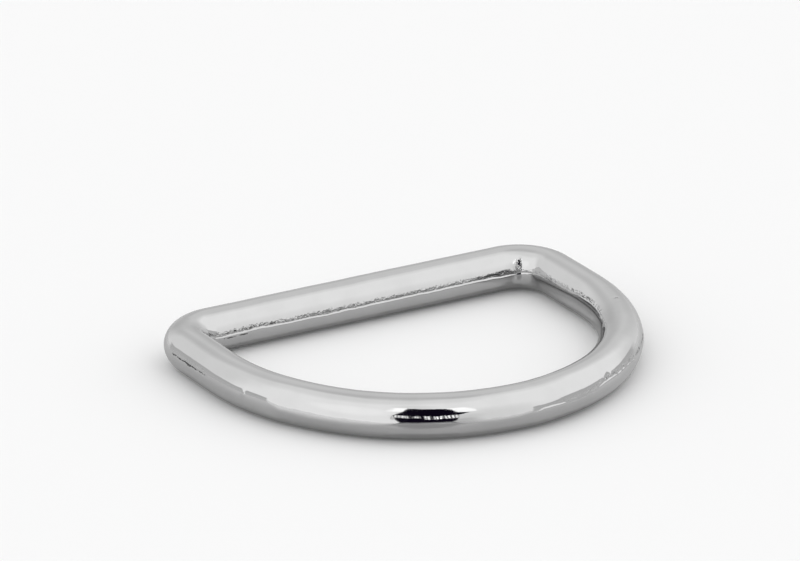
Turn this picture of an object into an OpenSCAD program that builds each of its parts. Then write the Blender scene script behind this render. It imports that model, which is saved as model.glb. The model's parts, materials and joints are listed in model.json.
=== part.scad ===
// D ring: one closed loop of round metal, cast in one piece, with a straight bar for a
// strap and a half-round bow for a hook. It lies flat, with +Z up, the bar along X at the
// +Y side and the bow towards -Y. The origin is under the middle of its outline, on the
// surface that it lies on.

/* [Section] */
// Diameter of the round metal
rod_d = 3; // [1.5:0.25:6]

/* [Opening] */
// Clear width between the two legs, which is the strap width that the ring takes
opening_w = 25; // [15:1:50]
// Length of each straight leg between its corner and the bow
leg_l = 4; // [1:0.5:10]
// Inner radius of the two corners at the ends of the bar
corner_inner_r = 1.2; // [0.5:0.1:3]

/* [Finish] */
// Number of segments round the metal and round each bend, for previews
facets = 96; // [32:8:128]

/* [Hidden] */

// Radius of the metal, and of each bend at the middle of the metal
rod_r = rod_d / 2;
corner_r = corner_inner_r + rod_r;
bow_r = opening_w / 2 + rod_r;

// Half the length of the bar's straight stretch
bar_half = bow_r - corner_r;

// Depth of the loop at the middle of the metal, from the bar to the crown of the bow
depth = corner_r + leg_l + bow_r;

// Y of the bar, of the corners' centres and of the bow's centre
bar_y = depth / 2;
corner_y = bar_y - corner_r;
bow_y = corner_y - leg_l;

// Plating colour
plated = [0.78, 0.79, 0.80];

$fn = facets;

// A straight stretch that starts at the given point and runs along a direction in the
// plane of the loop, turned from +X by heading.
module straight_rod(start, heading, length) {
    translate([start[0], start[1], rod_r])
        rotate([0, 0, heading])
            rotate([0, 90, 0])
                cylinder(r = rod_r, h = length);
}

// A bend in the plane of the loop, round centre, from one angle through a sweep.
module bent_rod(centre, bend_r, from, sweep) {
    translate([centre[0], centre[1], rod_r])
        rotate([0, 0, from])
            rotate_extrude(angle = sweep)
                translate([bend_r, 0])
                    circle(r = rod_r);
}

// The straight bar, between the two corners.
module bar() {
    straight_rod([-bar_half, bar_y], 0, 2 * bar_half);
}

// The corner and the leg at one end of the bar: side is 1 for +X and -1 for -X.
module shoulder(side) {
    bent_rod([side * bar_half, corner_y], corner_r, side > 0 ? 0 : 90, 90);
    straight_rod([side * bow_r, bow_y], 90, leg_l);
}

// The half-round bow, from one leg to the other.
module bow() {
    bent_rod([0, bow_y], bow_r, 180, 180);
}

// The whole ring: its bar, shoulders and bow were cast as one piece.
module ring() {
    color(plated)
        union() {
            bar();
            for (side = [-1, 1])
                shoulder(side);
            bow();
        }
}

ring();
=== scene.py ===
"""A bright plated D ring, cast in one piece of round metal, lying flat on a pale floor
inside a light tent.

A place on the ring has two numbers. along is the way on the middle line of the metal, from
the middle of the bar towards +X and on round the bow. around is the angle round the metal,
from 0 at the outer side of the loop to 90 on top and 180 at its inner side. The tables
give them in mm and degrees, and the functions work in metres and radians.

A direction of light has two numbers too, both in degrees. azimuth is measured from the
front, where the camera stands, towards the camera's left, and elevation from the horizon.
"""
import json
import math

import bpy
import numpy as np
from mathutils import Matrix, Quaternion, Vector


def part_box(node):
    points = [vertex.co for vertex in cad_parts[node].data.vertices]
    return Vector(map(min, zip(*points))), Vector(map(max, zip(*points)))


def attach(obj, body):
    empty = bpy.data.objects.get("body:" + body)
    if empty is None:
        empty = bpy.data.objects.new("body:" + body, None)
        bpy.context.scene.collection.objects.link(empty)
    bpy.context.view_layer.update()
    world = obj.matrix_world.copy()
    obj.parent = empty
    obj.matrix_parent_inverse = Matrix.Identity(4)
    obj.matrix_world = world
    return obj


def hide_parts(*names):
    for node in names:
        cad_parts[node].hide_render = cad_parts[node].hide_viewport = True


# The frame that the ring is built in, and the box of its solids
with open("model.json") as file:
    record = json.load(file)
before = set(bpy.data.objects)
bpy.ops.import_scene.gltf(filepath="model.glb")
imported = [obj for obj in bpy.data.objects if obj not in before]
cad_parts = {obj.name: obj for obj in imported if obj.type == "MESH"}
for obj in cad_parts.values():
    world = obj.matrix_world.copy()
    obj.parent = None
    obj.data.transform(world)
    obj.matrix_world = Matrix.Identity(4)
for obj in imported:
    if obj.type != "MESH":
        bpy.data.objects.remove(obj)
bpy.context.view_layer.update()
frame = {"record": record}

# One millimetre in metres
MM = 0.001

# The front: degrees from the ring's -Y side, where the bow is, towards -X
FRONT = 31.69

# The camera, in the front: its elevation and roll in degrees, how far it is from the point
# that it looks at, and that point
CAMERA_ELEVATION = 21.95
CAMERA_ROLL = 0.957
CAMERA_DISTANCE = 0.4626
CAMERA_TARGET = Vector((-0.001208, 0.002748, 0.005727))

# Its lens and its sensor's width, and the nearest and farthest thing that it shows
LENS_MM = 319.2
SENSOR_MM = 36.0
NEAREST = 0.01
FARTHEST = 20.0

# Mesh of the ring: how many sections it has along the loop, and points round each one.
# The points crowd together at the two parting lines: 0 is even, and 1 would merge them.
SECTIONS = 1024
SIDES = 96
CROWDING = 0.68

# Where the two halves of the mould met, they left a parting line round the outer and the
# inner side of the ring. A row gives a place along the loop and what the line is there.
# above: its height in degrees over the middle of that side.
# crease: how sharply the two halves meet, as a share of CREASE_SLOPE.
# step: how high the step at the line is, as a share of STEP_DEPTH. The upper half lies
# deeper, as the mould's halves sat askew.
# crack: how deep the thin crack is, as a share of CRACK_DEPTH, with painted shade along it,
# and where the share is negative how high the thin ridge that stands there instead.
# pores: how many pits lie over the line, from 0 for none to 1 for many, darkened with painted
# shade.
LINE_COLUMNS = ("along", "above", "crease", "step", "crack", "pores")

# The line on the outer side, where the bow's right part has the rough place of the gate
OUTER_LINE = (
    (0.0, 0, 0.5, 0.1, 0.0, 0.2),
    (20.0, 1, 0.4, 0.1, 0.0, 0.2),
    (27.0, 5, 0.0, 0.1, 0.0, 0.6),
    (28.4, 7, 0.0, 0.2, 0.0, 1.0),
    (31.3, 8, 0.0, 0.6, 0.0, 1.0),
    (31.8, 10, 0.0, 0.6, -0.6, 0.9),
    (32.1, 11, 0.0, 0.6, -0.1, 0.8),
    (32.5, 12, 0.0, 0.6, -0.8, 0.7),
    (32.9, 13, 0.0, 0.6, -0.2, 0.6),
    (33.2, 14, 0.0, 0.6, -0.8, 0.6),
    (33.4, 14, 0.0, 0.6, 0.2, 0.6),
    (33.7, 13, 0.0, 0.6, -0.8, 0.6),
    (34.0, 12, 0.0, 0.6, 0.1, 0.6),
    (34.4, 12, 0.0, 0.6, -0.6, 0.7),
    (34.7, 13, 0.0, 0.6, -0.1, 0.8),
    (35.1, 13, 0.0, 0.7, -0.6, 0.9),
    (35.6, 12, 0.0, 0.6, -0.2, 0.8),
    (36.0, 10, 0.0, 0.6, -0.5, 0.6),
    (36.4, 5, 0.0, 0.5, 0.0, 0.5),
    (37.2, 4, 0.0, 0.5, 0.0, 0.4),
    (38.4, 4, 0.0, 0.6, 0.0, 0.2),
    (39.0, 5, 0.0, 0.7, 0.0, 0.1),
    (40.3, 6, 0.0, 0.8, 0.0, 0.0),
    (41.0, 5, 0.2, 0.6, 0.0, 0.0),
    (41.6, 2, 0.7, 0.1, 0.0, 0.0),
    (42.5, -4, 1.2, 0.0, 0.0, 0.0),
    (44.0, -5, 1.2, 0.0, 0.0, 0.0),
    (45.6, -1, 1.0, 0.0, 0.0, 0.0),
    (47.0, 5, 0.9, 0.0, 0.0, 0.0),
    (49.4, 2, 0.9, 0.0, 0.0, 0.0),
    (51.4, -6, 1.3, 0.0, 0.0, 0.0),
    (54.0, -8, 1.5, 0.0, 0.0, 0.0),
    (57.0, -7, 1.3, 0.0, 0.0, 0.0),
    (57.9, 3, 0.0, 0.0, 0.0, 0.0),
    (62.8, 8, 0.0, 0.0, 0.0, 0.0),
    (63.4, 8, 0.0, 0.0, 0.5, 0.3),
    (64.8, 7, 0.0, 0.0, 0.7, 0.4),
    (65.3, 5, 0.0, 0.0, 1.5, 0.7),
    (65.9, 7, 0.0, 0.0, 0.7, 0.4),
    (67.4, 7, 0.0, 0.0, 0.8, 0.3),
    (67.8, 7, 0.0, 0.0, 0.0, 0.0),
    (72.0, 1, 0.4, 0.1, 0.0, 0.2),
)

# The line on the inner side, which is a bright edge all along the bar
INNER_LINE = (
    (0.0, 1, 0.0, 1.0, 0.0, 0.5),
    (4.9, 1, 0.0, 1.0, 0.0, 0.4),
    (7.9, 2, 0.0, 1.0, 0.0, 0.6),
    (8.9, 1, 0.0, 1.0, 0.0, 0.4),
    (10.0, 1, 0.0, 1.1, 0.0, 0.4),
    (11.0, 0, 0.0, 1.3, 0.0, 0.4),
    (11.9, 0, 0.0, 0.8, 0.0, 0.6),
    (13.3, 3, 0.0, 0.6, 0.0, 0.5),
    (15.0, 7, 0.0, 0.3, 0.0, 0.4),
    (15.9, 12, 0.0, 0.0, 0.1, 0.5),
    (17.5, 17, 0.0, 0.0, 0.1, 0.6),
    (20.0, 21, 0.1, 0.0, 0.1, 0.8),
    (22.0, 27, 0.2, 0.0, 0.3, 1.1),
    (24.5, 33, 0.3, 0.0, 0.3, 0.7),
    (26.5, 37, 0.3, 0.0, 0.2, 0.3),
    (31.0, 5, 0.3, 0.1, 0.0, 0.3),
    (56.0, 2, 0.3, 0.1, 0.0, 0.3),
    (69.0, 1, 0.0, 0.4, 0.0, 0.1),
    (71.0, 0, 0.0, 0.8, 0.0, 0.3),
    (72.0, -1, 0.0, 1.0, 0.0, 0.7),
    (73.0, 1, 0.0, 1.0, 0.0, 0.9),
    (74.0, 2, 0.0, 1.0, 0.0, 1.0),
    (74.8, 4, 0.0, 1.0, 0.0, 1.1),
    (75.6, 2, 0.0, 1.0, 0.0, 1.1),
    (76.5, 1, 0.0, 1.0, 0.0, 1.0),
    (77.6, 1, 0.0, 1.0, 0.0, 0.7),
    (79.0, 1, 0.0, 0.9, 0.0, 0.5),
    (80.0, -1, 0.0, 1.0, 0.0, 0.5),
    (82.0, 1, 0.0, 1.0, 0.0, 0.6),
)

# Crease: the slope of each half where the two meet, how far it reaches from there, and how
# round the edge between them is
CREASE_SLOPE = 0.18
CREASE_REACH = 0.45 * MM
CREASE_ROUNDING = 0.11 * MM

# Step: its depth, and its profile as distances over the line, with shares of that depth.
# Its face is the bright edge. Between the distances of STEP_FADES the upper half comes
# back to the round.
STEP_DEPTH = 0.070 * MM
STEP_PROFILE = ((-0.065 * MM, 0.0), (0.055 * MM, 0.74), (0.38 * MM, 1.0))
STEP_FADES = (0.38 * MM, 3.6 * MM)

# Thin crack: its depth and half its width, and the painted shade along it, with half that shade's
# width
CRACK_DEPTH = 0.032 * MM
CRACK_HALF_WIDTH = 0.055 * MM
CRACK_PAINTED_SHADE = 2.0
CRACK_SHADE_HALF_WIDTH = 0.066 * MM

# Zone over the line where the casting stayed rough, its pits darkened with painted shade: its
# middle and half its width, and the slope, the shortest and longest wave and the number of waves
# of its relief
ROUGH_MIDDLE = 0.20 * MM
ROUGH_HALF_WIDTH = 0.15 * MM
ROUGH_SLOPE = 0.07
ROUGH_LENGTHS_MM = (0.25, 0.7)
ROUGH_WAVES = 120

# Jags of the lines: how far apart they are in mm, and the least and greatest factor that
# they give the step, the crack and the roughness, or degrees that they add to the height
STEP_JAGS = (0.6, 0.95, 1.05)
CRACK_JAGS = (0.25, 0.6, 1.2)
ROUGH_JAGS = (0.4, 0.5, 1.2)
LONG_HEIGHT_JAGS = (0.8, -1.0, 1.0)
SHORT_HEIGHT_JAGS = (0.3, -0.7, 0.7)

# Single marks. A row is a dent, or a bump where its depth is negative: its place, half
# its length along the loop, half its width round the metal, its depth, its darkness, which is
# painted shade, and its roughness. These lengths are in mm.
MARKS = (
    # along, around, half_length, half_width, depth, darkness, roughness
    # A bump beside the outer line, on the bow's left part
    (59.72, 9, 0.12, 0.22, -0.040, 0.0, 0.0),
    # A pit with a scratch on top of the bow's right part, and one on top of the bar, both darkened
    # with painted shade
    (24.2, 88, 0.16, 0.20, 0.012, 0.9, 0.0),
    (24.8, 86, 0.30, 0.12, 0.005, 0.5, 0.0),
    (75.95, 112, 0.12, 0.08, 0.010, 1.2, 0.0),
    (76.8, 112, 0.90, 0.07, 0.007, 0.5, 0.0),
    # A faint dent in the top of each corner, one of them with a little painted shade
    (14.3, 112, 0.70, 0.16, 0.006, 0.0, 0.0),
    (69.9, 85, 0.18, 0.40, 0.007, 0.4, 0.0),
    # The gap over the inner line, near the right corner, darkened with painted shade
    (9.8, 171, 0.75, 0.06, 0.012, 2.2, 0.0),
    # The bump at the gate
    (35.25, 39, 0.28, 0.24, -0.028, 0.0, 0.0),
    # The pitted dent in the right corner's inner side, its pits darkened with painted shade
    (12.8, 150, 0.40, 0.60, 0.016, 0.0, 0.0),
    (12.6, 165, 0.45, 0.24, 0.000, 0.5, 1.2),
    (12.3, 149, 0.22, 0.18, 0.000, 1.0, 1.0),
    (12.8, 147, 0.20, 0.24, 0.000, 0.9, 0.6),
    # Scratches under the inner line, at both ends of the bar, darkened with painted shade
    (72.6, 186, 0.5, 0.05, 0.003, 1.8, 0.0),
    (73.6, 185, 0.4, 0.05, 0.003, 1.8, 0.0),
    (11.2, 183, 0.8, 0.03, 0.003, 1.1, 0.0),
)

# Waves left by hand polishing, and the finer peel of the plating: the slope of their
# sides, the shortest and longest wave, and how many waves are laid over each other
RIPPLE_SLOPE = 0.008
RIPPLE_LENGTHS_MM = (1.5, 6.0)
RIPPLE_WAVES = 90
PEEL_SLOPE = 0.0035
PEEL_LENGTHS_MM = (0.45, 1.3)
PEEL_WAVES = 160

# Seeds of what is random in the mesh
OUTER_SEED = 1
INNER_SEED = 2
RIPPLE_SEED = 3
PEEL_SEED = 4


def ring_sizes():
    """Radii and places of the ring's stretches, from the frame and the record's bar."""
    low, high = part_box("ring")
    rod_r = (high.z - low.z) / 2
    bow_r = (high.x - low.x) / 2 - rod_r
    mounts = {mount["name"]: mount for mount in frame["record"]["mounts"]}
    bar_half = mounts["strap_bar"]["dims"]["length_mm"] * MM / 2
    corner_r = bow_r - bar_half
    bar_y = high.y - rod_r
    corner_y = bar_y - corner_r
    bow_y = low.y + rod_r + bow_r
    return rod_r, bow_r, bar_half, corner_r, bar_y, corner_y, bow_y


# Radius of the metal and of the bow, half the bar's length, the corners' radius, and the Y
# of the bar, of the corners' centres and of the bow's centre
ROD_R, BOW_R, BAR_HALF, CORNER_R, BAR_Y, CORNER_Y, BOW_Y = ring_sizes()

# Length of a leg, the way once round the loop and the way once round the metal
LEG = CORNER_Y - BOW_Y
LOOP = 2 * BAR_HALF + math.pi * CORNER_R + 2 * LEG + math.pi * BOW_R
GIRTH = 2 * math.pi * ROD_R


def middle_line(along):
    """Points on the middle line of the metal, and the directions out of the loop there."""
    stretches = (
        # length, start or centre, direction out of the loop at its start, radius
        (BAR_HALF, (0, BAR_Y), 90, 0),
        (CORNER_R * math.pi / 2, (BAR_HALF, CORNER_Y), 90, CORNER_R),
        (LEG, (BAR_HALF + CORNER_R, CORNER_Y), 0, 0),
        (BOW_R * math.pi, (0, BOW_Y), 0, BOW_R),
        (LEG, (-BOW_R, BOW_Y), 180, 0),
        (CORNER_R * math.pi / 2, (-BAR_HALF, CORNER_Y), 180, CORNER_R),
        (BAR_HALF, (-BAR_HALF, BAR_Y), 90, 0),
    )
    points = np.zeros((len(along), 2))
    outward = np.zeros((len(along), 2))
    start = 0.0
    for length, place, facing, radius in stretches:
        here = (along >= start) & (along <= start + length)
        gone = along[here] - start
        angle = np.full(len(gone), math.radians(facing))
        if radius:
            angle -= gone / radius
        out = np.stack((np.cos(angle), np.sin(angle)), 1)
        forward = np.stack((out[:, 1], -out[:, 0]), 1)
        walked = radius * out if radius else gone[:, None] * forward
        points[here] = np.array(place) + walked
        outward[here] = out
        start += length
    return points, outward


def line_values(table, name, along):
    """One column of a parting line's table, at each place along the closed loop."""
    places = [row[0] * MM for row in table]
    values = [row[LINE_COLUMNS.index(name)] for row in table]
    return np.interp(along, places, values, period=LOOP)


def wavy(seed, along, around, slope, lengths_mm, count):
    """Smooth random relief of count waves, about as steep as slope.

    It closes on itself both along the loop and round the metal."""
    rng = np.random.default_rng(seed)
    shortest, longest = lengths_mm
    total = np.zeros(np.broadcast(along, around).shape)
    for _ in range(count):
        length = shortest * (longest / shortest) ** rng.uniform() * MM
        turn = rng.uniform(0, 2 * math.pi)
        times_along = round(LOOP / length * math.cos(turn))
        times_around = round(GIRTH / length * math.sin(turn))
        phase = rng.uniform(0, 2 * math.pi)
        swing = np.cos(2 * math.pi * times_along * along / LOOP + times_around * around + phase)
        total += slope * length / (2 * math.pi) * swing
    return total * math.sqrt(2 / count)


def ragged(rng, along, spacing_mm, least, greatest):
    """A jagged line along the closed loop, between least and greatest."""
    count = round(LOOP / (spacing_mm * MM))
    places = np.arange(count) * LOOP / count
    return np.interp(along, places, rng.uniform(least, greatest, count), period=LOOP)


def bell(x):
    """A smooth bump: 1 at 0, about a third at 1 and next to nothing at 2."""
    return np.exp(-x * x)


def wrapped(angle):
    """The same angle in radians, brought between -pi and pi."""
    return np.angle(np.exp(1j * angle))


def crease_relief(over, crease, facing):
    """How both halves fall away from the line where they meet."""
    distance = np.hypot(over, CREASE_ROUNDING) - CREASE_ROUNDING
    return -CREASE_SLOPE * CREASE_REACH * crease * (1 - np.exp(-distance / CREASE_REACH)) * facing


def step_relief(over, step):
    """How the upper half drops at the line and comes back to the round further up."""
    places, shares = zip(*STEP_PROFILE)
    fade = np.interp(over, STEP_FADES, (0, math.pi))
    share = np.interp(over, places, shares) * (1 + np.cos(fade)) / 2
    return -STEP_DEPTH * step * share


def parting_line(seed, table, side, along, around):
    """Relief, roughness, painted shade and upward shift that one parting line gives the grid.

    side is 0 for the outer line and 180 for the inner one."""
    rng = np.random.default_rng(seed)
    upward = 1 if side == 0 else -1
    off_side = wrapped(around - math.radians(side))
    facing = np.clip(np.cos(off_side), 0, None) ** 2
    over = upward * off_side * ROD_R

    crease = line_values(table, "crease", along)
    step = line_values(table, "step", along) * ragged(rng, along, *STEP_JAGS)
    crack = line_values(table, "crack", along) * ragged(rng, along, *CRACK_JAGS)
    relief = crease_relief(over, crease, facing) + step_relief(over, step)
    relief -= CRACK_DEPTH * crack * bell(over / CRACK_HALF_WIDTH)

    pores = line_values(table, "pores", along)
    rough = bell((over - ROUGH_MIDDLE) / ROUGH_HALF_WIDTH) * pores
    relief += rough * wavy(seed, along, around, ROUGH_SLOPE, ROUGH_LENGTHS_MM, ROUGH_WAVES)
    rough = rough * ragged(rng, along, *ROUGH_JAGS)
    # Painted shade: the rough zone's pits and the thin crack are darkened
    dark = np.maximum(rough, CRACK_PAINTED_SHADE * crack * bell(over / CRACK_SHADE_HALF_WIDTH))

    above = line_values(table, "above", along)
    above += ragged(rng, along, *LONG_HEIGHT_JAGS) + ragged(rng, along, *SHORT_HEIGHT_JAGS)
    shift = upward * np.radians(above) * facing ** 2
    return relief, rough, dark, shift


def single_marks(along, around):
    """Relief, roughness and painted shade of the single dents and bumps."""
    relief, rough, dark = np.zeros((3, *np.broadcast(along, around).shape))
    for place, angle, half_length, half_width, depth, darkness, roughness in MARKS:
        off_along = (along - place * MM + LOOP / 2) % LOOP - LOOP / 2
        off_around = wrapped(around - math.radians(angle)) * ROD_R
        shape = bell(off_along / (half_length * MM)) * bell(off_around / (half_width * MM))
        relief -= depth * MM * shape
        rough = np.maximum(rough, roughness * shape)
        dark = np.maximum(dark, darkness * shape)
    return relief, rough, dark


def ring_surface():
    """Points of the ring's surface by section and side, and their roughness and painted shade."""
    along = np.arange(SECTIONS)[:, None] * LOOP / SECTIONS
    even = np.arange(SIDES) * 2 * math.pi / SIDES
    around = np.broadcast_to(even - CROWDING * np.sin(2 * even) / 2, (SECTIONS, SIDES))

    outer_relief, outer_rough, outer_dark, outer_shift = parting_line(
        OUTER_SEED, OUTER_LINE, 0, along, around
    )
    inner_relief, inner_rough, inner_dark, inner_shift = parting_line(
        INNER_SEED, INNER_LINE, 180, along, around
    )
    around = around + outer_shift + inner_shift
    mark_relief, mark_rough, mark_dark = single_marks(along, around)

    relief = outer_relief + inner_relief
    relief += wavy(RIPPLE_SEED, along, around, RIPPLE_SLOPE, RIPPLE_LENGTHS_MM, RIPPLE_WAVES)
    relief += wavy(PEEL_SEED, along, around, PEEL_SLOPE, PEEL_LENGTHS_MM, PEEL_WAVES)
    rough = np.maximum.reduce((outer_rough, inner_rough, mark_rough))
    dark = np.maximum.reduce((outer_dark, inner_dark, mark_dark))

    # But for the bumps among the marks, no point lies over the CAD ring's surface
    radius = ROD_R + relief - relief.max() + mark_relief
    points, outward = middle_line(along[:, 0])
    across = (radius * np.cos(around))[:, :, None] * outward[:, None, :]
    up = radius * np.sin(around)
    flat = points[:, None, :] + across
    return np.concatenate((flat, (up - up.min())[:, :, None]), 2), rough, dark


def ring_mesh():
    """The ring as one closed mesh of quads, with its roughness and painted shade."""
    surface, rough, dark = ring_surface()
    section = np.arange(SECTIONS)[:, None]
    side = np.arange(SIDES)[None, :]
    corners = ((section, side), (section, side + 1), (section + 1, side + 1), (section + 1, side))
    faces = np.stack([(a % SECTIONS) * SIDES + b % SIDES for a, b in corners], 2)

    mesh = bpy.data.meshes.new("ring_metal")
    mesh.from_pydata(surface.reshape(-1, 3), [], faces.reshape(-1, 4))
    mesh.polygons.foreach_set("use_smooth", np.ones(SECTIONS * SIDES, bool))
    for name, values in (("rough", rough), ("dark", dark)):
        mesh.attributes.new(name, "FLOAT", "POINT").data.foreach_set("value", values.ravel())
    mesh.update()
    return mesh


class Nodes:
    """Short names for the nodes of one node tree. An input is a socket or a plain value."""

    def __init__(self, tree):
        self.tree = tree

    def give(self, socket, value):
        """Link the value to the socket if it is a socket itself, and else set it there."""
        if isinstance(value, bpy.types.NodeSocket):
            self.tree.links.new(value, socket)
        else:
            socket.default_value = value

    def source(self, kind, output):
        """One output of a new node that has nothing to set."""
        return self.tree.nodes.new(kind).outputs[output]

    def maths(self, operation, *inputs):
        """Result of one operation of the Math node."""
        node = self.tree.nodes.new("ShaderNodeMath")
        node.operation = operation
        for socket, value in zip(node.inputs, inputs):
            self.give(socket, value)
        return node.outputs[0]

    def times(self, *factors):
        """Product of all the factors."""
        product = factors[0]
        for factor in factors[1:]:
            product = self.maths("MULTIPLY", product, factor)
        return product

    def dot(self, vector, unit):
        """How far the vector reaches along a unit vector."""
        node = self.tree.nodes.new("ShaderNodeVectorMath")
        node.operation = "DOT_PRODUCT"
        self.give(node.inputs[0], vector)
        self.give(node.inputs[1], unit)
        return node.outputs["Value"]

    def ramp(self, value, low, high, at_low=0.0, at_high=1.0, kind="SMOOTHSTEP"):
        """From at_low to at_high as value goes from low to high, and level outside that."""
        node = self.tree.nodes.new("ShaderNodeMapRange")
        node.interpolation_type = kind
        self.give(node.inputs["Value"], value)
        self.give(node.inputs["From Min"], low)
        self.give(node.inputs["From Max"], high)
        self.give(node.inputs["To Min"], at_low)
        self.give(node.inputs["To Max"], at_high)
        return node.outputs["Result"]

    def rises(self, value, edge, blur):
        """0 below an edge and 1 over it, with a change as wide as blur."""
        return self.ramp(value, edge - blur / 2, edge + blur / 2)

    def falls(self, value, edge, blur):
        """1 below an edge and 0 over it, with a change as wide as blur."""
        return self.ramp(value, edge - blur / 2, edge + blur / 2, 1.0, 0.0)

    def between(self, value, low, high, blur):
        """1 where value lies between low and high, 0 outside, with edges as wide as blur."""
        return self.times(self.rises(value, low, blur), self.falls(value, high, blur))

    def profile(self, value, places, levels):
        """Level over value that runs straight from each place's level to the next one's."""
        level = levels[0]
        for low, high, before, after in zip(places, places[1:], levels, levels[1:]):
            change = self.ramp(value, low, high, 0.0, after - before, kind="LINEAR")
            level = self.maths("ADD", change, level)
        return level

    def attribute(self, name):
        """Value that the mesh stores for each point under this name."""
        node = self.tree.nodes.new("ShaderNodeAttribute")
        node.attribute_name = name
        return node.outputs["Fac"]

    def noise(self, place, size, detail):
        """Noise around 0.5, whose lumps measure about size metres, with finer ones in them."""
        node = self.tree.nodes.new("ShaderNodeTexNoise")
        self.give(node.inputs["Vector"], place)
        node.inputs["Scale"].default_value = 1 / size
        node.inputs["Detail"].default_value = detail
        return node.outputs["Fac"]

    def mix(self, share, first, second):
        """Colour that goes from first to second as share goes from 0 to 1."""
        node = self.tree.nodes.new("ShaderNodeMix")
        node.data_type = "RGBA"
        self.give(node.inputs["Factor"], share)
        self.give(node.inputs["A"], first)
        self.give(node.inputs["B"], second)
        return node.outputs["Result"]


def new_material(name):
    """A new material, its nodes and its main shader."""
    material = bpy.data.materials.new(name)
    material.use_nodes = True
    tree = material.node_tree
    return material, Nodes(tree), tree.nodes["Principled BSDF"]


# Plating: its colour where it is clear and where it is clouded, and the painted shade that darkens
# the pits
CLEAR_COLOUR = (0.565, 0.565, 0.565, 1)
CLOUDED_COLOUR = (0.545, 0.545, 0.545, 1)
PIT_PAINTED_SHADE = (0.10, 0.10, 0.10, 1)

# Its roughness where it is clear and where it is clouded, and what a pit adds to that
CLEAR_ROUGHNESS = 0.04
CLOUDED_ROUGHNESS = 0.06
PIT_ROUGHNESS = 0.3

# Sizes of its clouds, of the specks that pits come from, of its fine grain and of the
# lumps of rough metal, each with how many finer layers its noise has
CLOUDS = (2.2 * MM, 3)
SPECKS = (0.13 * MM, 1)
GRAIN = (0.16 * MM, 2)
COARSE = (0.18 * MM, 2)

# The noise at which clouds begin and are full, the same for pits, and what the mesh's
# darkness, the painted shade of the lines and marks, adds to the noise of the pits
CLOUD_NOISE = (0.35, 0.70)
PIT_NOISE = (0.80, 0.98)
DARK_LIFT = 0.42

# Fine relief: its unit, and in that unit the height of the grain, of rough metal and how
# deep a pit is
RELIEF_UNIT = 0.003 * MM
GRAIN_HEIGHT = 0.25
COARSE_HEIGHT = 24.0
PIT_DEPTH = 0.4


def plated_metal():
    """Bright plating: a clear mirror, faintly clouded, with pits beside the lines that are
    darkened with painted shade.
    """
    material, nodes, shader = new_material("bright_plating")
    place = nodes.source("ShaderNodeTexCoord", "Object")

    cloud = nodes.ramp(nodes.noise(place, *CLOUDS), *CLOUD_NOISE)
    specks = nodes.noise(place, *SPECKS)
    reached = nodes.maths("ADD", specks, nodes.times(nodes.attribute("dark"), DARK_LIFT))
    pit_with_painted_shade = nodes.ramp(reached, *PIT_NOISE)

    bright = nodes.mix(cloud, CLEAR_COLOUR, CLOUDED_COLOUR)
    # Painted shade: in the pits the plating's colour is darkened to a dark grey
    nodes.give(shader.inputs["Base Color"], nodes.mix(pit_with_painted_shade, bright, PIT_PAINTED_SHADE))
    rough = nodes.ramp(cloud, 0.0, 1.0, CLEAR_ROUGHNESS, CLOUDED_ROUGHNESS)
    rough = nodes.maths("ADD", rough, nodes.times(pit_with_painted_shade, PIT_ROUGHNESS))
    nodes.give(shader.inputs["Roughness"], rough)
    shader.inputs["Metallic"].default_value = 1.0

    grain = nodes.times(nodes.noise(place, *GRAIN), GRAIN_HEIGHT)
    coarse = nodes.maths("SUBTRACT", nodes.noise(place, *COARSE), 0.5)
    coarse = nodes.times(coarse, nodes.attribute("rough"), COARSE_HEIGHT)
    raised = nodes.maths("ADD", grain, coarse)
    bump = nodes.tree.nodes.new("ShaderNodeBump")
    bump.inputs["Distance"].default_value = RELIEF_UNIT
    nodes.give(bump.inputs["Height"], nodes.maths("SUBTRACT", raised, nodes.times(pit_with_painted_shade, PIT_DEPTH)))
    nodes.give(shader.inputs["Normal"], bump.outputs["Normal"])
    return material


def add_object(name, data):
    """A new object in the scene."""
    made = bpy.data.objects.new(name, data)
    bpy.context.scene.collection.objects.link(made)
    return made


def add_ring():
    """The ring in its plating, in place of its solid."""
    ring = add_object("ring_metal", ring_mesh())
    ring.data.materials.append(plated_metal())
    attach(ring, "root")
    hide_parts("ring")


# Light of the tent's wall, and of the low boards that stand at the floor's edge
WALL_LIGHT = 1.30
BOARD_LIGHT = 0.66

# How blurred the edges of the boards, of the opening, of its lamps and of its glow are
EDGE_BLUR = 1.3
LAMP_BLUR = 0.5
GLOW_BLUR = 3.0

# The boards. A row gives the azimuths of one board's right and left end, how blurred each
# of them is, and the elevation that it reaches.
BOARDS = (
    # right, left, right_blur, left_blur, top
    (-140, -63.5, 9, 3.5, 9.2),
    (68.5, 124, 2, 8, 8.2),
)

# Round shades and glows on the wall. A row gives where the middle is, how far from it
# the shade is full and where it ends, and the share of the light that it leaves.
WALL_SHADES = (
    # azimuth, elevation, full, ends, share
    (140, 76, 10, 34, 0.86),
    (126, 20, 20, 44, 0.81),
    (29, 33, 5, 22, 1.09),
    (-150, 0, 4, 34, 0.76),
    (-22, -3, 0, 20, 0.68),
    (-34, 4, 0, 44, 0.84),
    (-153, 58, 6, 14, 0.92),
    (-6, 63, 2, 11, 0.90),
    (-29, 14, 0, 12, 0.90),
    (172, 4, 4, 26, 0.76),
)

# The shaded stretch behind the ring: its azimuth, how far aside it is full and where it
# ends, the elevations between which it fades, and the share of the light that it leaves
BACK_AZIMUTH = 174
BACK_ASIDE = (4, 42)
BACK_FADES = (62, 88)
BACK_SHARE = 0.70

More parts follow.
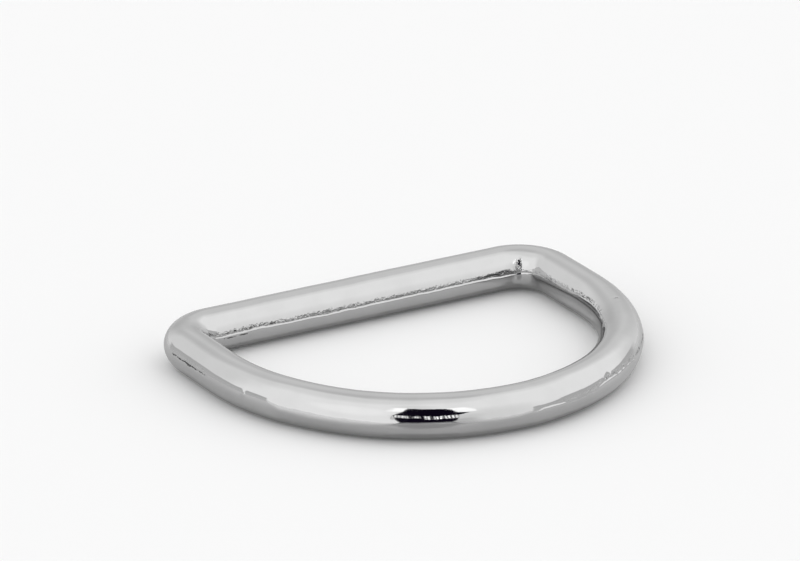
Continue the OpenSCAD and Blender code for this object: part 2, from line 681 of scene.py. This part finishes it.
# The opening that the camera looks through: the azimuths of its right and left edge at some
# elevations, and the elevation of its top at some azimuths
OPENING_EDGES = (
    # elevation, right, left
    (0, -22.5, 5.0),
    (12, -25.5, 8.0),
    (26, -26.5, 8.5),
    (40, -27.0, 4.5),
    (54, -25.5, -0.3),
)
OPENING_TOP = (
    # azimuth, elevation
    (-24, 52),
    (0, 57),
)

# Its lamps, in groups. A row gives the azimuths of a group's right and left end, and the
# elevations that it lies between.
LAMP_GROUPS = (
    # right, left, low, high
    (-25.5, -14.0, 16.5, 25.5),
    (-12.8, -8.7, 16.5, 27.0),
    (-6.3, -1.7, 19.5, 25.5),
    (-0.6, 9.0, 19.0, 26.5),
)

# How far apart the lamps of a group are, how their light swells between one gap and the
# next, from the sine at which it starts to the one where it is full, and that light
LAMP_SPACING = 1.7
LAMP_SWELLS = (-0.3, 0.9)
LAMP_LIGHT = 2.4

# A dark spike at the opening's right: the azimuths of its tip and of its root, its
# elevation, and how thick it is at its root
SPIKE_TIP = -34
SPIKE_ROOT = -24.5
SPIKE_ELEVATION = 30
SPIKE_THICKNESS = 13

# Colour of the dark behind the opening
OPENING_COLOUR = (0.006, 0.004, 0.012, 1)

# The bright frame of the opening, in two pieces, and its light. A row gives the azimuths of
# a piece's right and left end, and the elevations that it lies between.
GLOWS = (
    # right, left, low, high
    (-37, -20, 32, 53),
    (-3, 11, 41, 58.5),
)
GLOW_LIGHT = 1.8


def direction(azimuth, elevation):
    """Unit vector of a direction that is given in degrees from the front and the horizon."""
    a = math.radians(azimuth) + math.radians(FRONT)
    e = math.radians(elevation)
    return (-math.sin(a) * math.cos(e), -math.cos(a) * math.cos(e), math.sin(e))


def cosine(degrees):
    """Cosine of an angle in degrees."""
    return math.cos(math.radians(degrees))


def tent_wall(nodes, way, azimuth, elevation):
    """Light of the tent's wall, with its shades."""
    light = WALL_LIGHT
    for middle_azimuth, middle_elevation, full, ends, share in WALL_SHADES:
        near = nodes.dot(way, direction(middle_azimuth, middle_elevation))
        light = nodes.times(nodes.ramp(near, cosine(ends), cosine(full), 1.0, share), light)
    turned = nodes.maths("SUBTRACT", azimuth, BACK_AZIMUTH)
    near = nodes.maths("COSINE", nodes.times(turned, math.radians(1)))
    full, ends = BACK_ASIDE
    back = nodes.times(
        nodes.ramp(near, cosine(ends), cosine(full)),
        nodes.ramp(elevation, *BACK_FADES, 1.0, 0.0),
    )
    return nodes.times(light, nodes.ramp(back, 0.0, 1.0, 1.0, BACK_SHARE, kind="LINEAR"))


def low_boards(nodes, azimuth, elevation):
    """Where the boards at the floor's edge hide the wall: 1 on them, 0 elsewhere."""
    boards = 0.0
    for right, left, right_blur, left_blur, top in BOARDS:
        board = nodes.times(
            nodes.rises(azimuth, right, right_blur),
            nodes.falls(azimuth, left, left_blur),
            nodes.falls(elevation, top, EDGE_BLUR),
        )
        boards = nodes.maths("ADD", board, boards)
    return boards


def opening_shape(nodes, azimuth, elevation):
    """1 in the opening between its side edges, and 1 in the whole of it with its spike."""
    heights, rights, lefts = zip(*OPENING_EDGES)
    from_right = nodes.maths("SUBTRACT", azimuth, nodes.profile(elevation, heights, rights))
    from_left = nodes.maths("SUBTRACT", nodes.profile(elevation, heights, lefts), azimuth)
    between = nodes.rises(nodes.maths("MINIMUM", from_right, from_left), 0.0, EDGE_BLUR)

    # Half a blur less than nothing at its tip, so that no dark line runs on from there
    levels = (-EDGE_BLUR / 2, SPIKE_THICKNESS / 2)
    thick = nodes.profile(azimuth, (SPIKE_TIP, SPIKE_ROOT), levels)
    off = nodes.maths("ABSOLUTE", nodes.maths("SUBTRACT", elevation, SPIKE_ELEVATION))
    spike = nodes.times(
        nodes.rises(nodes.maths("SUBTRACT", thick, off), 0.0, EDGE_BLUR),
        nodes.falls(azimuth, SPIKE_ROOT + EDGE_BLUR, EDGE_BLUR),
    )
    top = nodes.profile(azimuth, *zip(*OPENING_TOP))
    under = nodes.falls(nodes.maths("SUBTRACT", elevation, top), 0.0, EDGE_BLUR)
    return between, nodes.times(nodes.maths("MAXIMUM", between, spike), under)


def patches(nodes, azimuth, elevation, rows, blur):
    """1 in each patch that a row of right, left, low and high bounds, 0 elsewhere."""
    total = 0.0
    for right, left, low, high in rows:
        patch = nodes.times(
            nodes.between(azimuth, right, left, blur),
            nodes.between(elevation, low, high, blur),
        )
        total = nodes.maths("ADD", patch, total)
    return total


def lamp_row(nodes, azimuth, elevation):
    """The lamps: 1 where they shine, 0 elsewhere."""
    swing = nodes.maths("SINE", nodes.times(azimuth, 2 * math.pi / LAMP_SPACING))
    groups = patches(nodes, azimuth, elevation, LAMP_GROUPS, LAMP_BLUR)
    return nodes.times(groups, nodes.ramp(swing, *LAMP_SWELLS))


def front_opening(nodes, azimuth, elevation):
    """The opening's own colour, its shape, and the glow on the wall beside it."""
    between, shape = opening_shape(nodes, azimuth, elevation)
    lamps = nodes.times(lamp_row(nodes, azimuth, elevation), between)
    colour = nodes.mix(lamps, OPENING_COLOUR, (LAMP_LIGHT, LAMP_LIGHT, LAMP_LIGHT, 1))
    return colour, shape, patches(nodes, azimuth, elevation, GLOWS, GLOW_BLUR)


def add_light_tent():
    """The world: a white tent round the ring, with an opening for the camera in front."""
    world = bpy.data.worlds.new("light_tent")
    world.use_nodes = True
    bpy.context.scene.world = world
    nodes = Nodes(world.node_tree)
    way = nodes.source("ShaderNodeTexCoord", "Generated")
    to_degrees = math.degrees(1)
    ahead = nodes.dot(way, direction(0, 0))
    left = nodes.dot(way, direction(90, 0))
    azimuth = nodes.times(nodes.maths("ARCTAN2", left, ahead), to_degrees)
    elevation = nodes.times(nodes.maths("ARCSINE", nodes.dot(way, direction(0, 90))), to_degrees)

    colour, shape, glow = front_opening(nodes, azimuth, elevation)
    boards = low_boards(nodes, azimuth, elevation)
    light = tent_wall(nodes, way, azimuth, elevation)
    bare = nodes.times(nodes.maths("SUBTRACT", 1.0, boards), light)
    wall = nodes.maths("ADD", bare, nodes.times(boards, BOARD_LIGHT))
    wall = nodes.maths("ADD", wall, nodes.times(glow, GLOW_LIGHT - WALL_LIGHT))
    grey = nodes.tree.nodes.new("ShaderNodeCombineColor")
    for socket in grey.inputs[:3]:
        nodes.give(socket, wall)
    background = nodes.tree.nodes["Background"]
    nodes.give(background.inputs["Color"], nodes.mix(shape, grey.outputs["Color"], colour))
    background.inputs["Strength"].default_value = 1.0


# The pale floor: its width, how pale the camera sees it, and what the ring sees of it:
# how pale it is, the light that shines through it, and its gloss, with its refractive
# index and how blurred it is
FLOOR_SIZE = 4.0
FLOOR_SEEN = 0.86
FLOOR_TO_RING = 0.36
FLOOR_LIGHT = 0.10
FLOOR_GLOSS = 0.5
FLOOR_INDEX = 2.3
FLOOR_BLUR = 0.15


def add_floor():
    """The floor, which is paler and duller to the camera than it is to the ring."""
    half = FLOOR_SIZE / 2
    corners = [(-half, -half, 0), (half, -half, 0), (half, half, 0), (-half, half, 0)]
    mesh = bpy.data.meshes.new("floor")
    mesh.from_pydata(corners, [], [(0, 1, 2, 3)])
    material, nodes, shader = new_material("floor")
    seen = nodes.source("ShaderNodeLightPath", "Is Camera Ray")
    shades = [(tone, tone, tone, 1) for tone in (FLOOR_TO_RING, FLOOR_SEEN)]
    nodes.give(shader.inputs["Base Color"], nodes.mix(seen, *shades))
    gloss = nodes.ramp(seen, 0.0, 1.0, FLOOR_GLOSS, 0.0, kind="LINEAR")
    nodes.give(shader.inputs["Specular IOR Level"], gloss)
    shines = nodes.ramp(seen, 0.0, 1.0, FLOOR_LIGHT, 0.0, kind="LINEAR")
    nodes.give(shader.inputs["Emission Strength"], shines)
    shader.inputs["Emission Color"].default_value = (1, 1, 1, 1)
    shader.inputs["IOR"].default_value = FLOOR_INDEX
    shader.inputs["Roughness"].default_value = FLOOR_BLUR
    mesh.materials.append(material)
    add_object("floor", mesh)


def add_camera():
    """The camera, at the photograph's angle to the ring and with its framing."""
    data = bpy.data.cameras.new("camera")
    data.lens = LENS_MM
    data.sensor_width = SENSOR_MM
    data.clip_start = NEAREST
    data.clip_end = FARTHEST
    camera = add_object("camera", data)
    back = Vector(direction(0, CAMERA_ELEVATION))
    camera.location = CAMERA_TARGET + back * CAMERA_DISTANCE
    camera.rotation_mode = "QUATERNION"
    roll = Quaternion((0, 0, 1), math.radians(CAMERA_ROLL))
    camera.rotation_quaternion = (-back).to_track_quat("-Z", "Y") @ roll
    bpy.context.scene.camera = camera


add_camera()
add_ring()
add_floor()
add_light_tent()
bpy.context.scene.view_settings.view_transform = "Standard"
